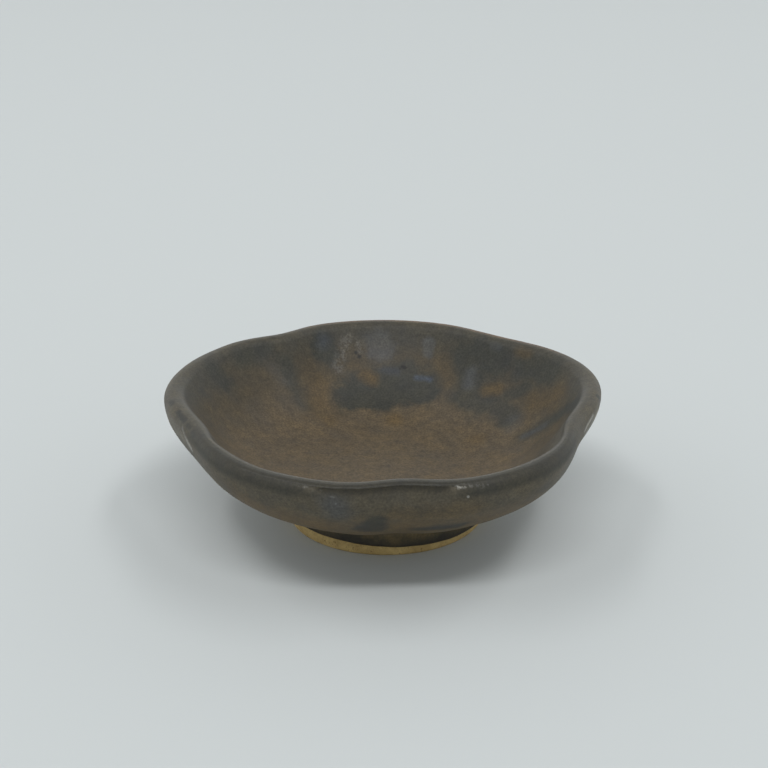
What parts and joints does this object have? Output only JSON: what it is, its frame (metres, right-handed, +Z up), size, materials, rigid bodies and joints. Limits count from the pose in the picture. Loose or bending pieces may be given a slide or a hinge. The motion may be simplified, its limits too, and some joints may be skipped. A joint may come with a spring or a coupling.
{
  "type": "soy sauce dish",
  "caption": "Small hand-made stoneware soy sauce dish with a lobed, rounded rim, brown iron glaze with dark blue-grey patches, and a bare clay foot ring.",
  "frame": {"origin": "centre of the foot ring on the table plane", "axes": "+Z up out of the dish, -Y towards the side that faces the viewer in the picture, +X to the viewer's right"},
  "size_m": [0.0871, 0.0891, 0.0258],
  "materials": {
    "clay": "bare fired stoneware, matt",
    "glaze": "satin brown iron glaze"
  },
  "bodies": {
    "root": {"dish_body": "clay", "foot_ring": "clay", "inside_glaze": "glaze", "outside_glaze": "glaze"}
  },
  "joints": []
}
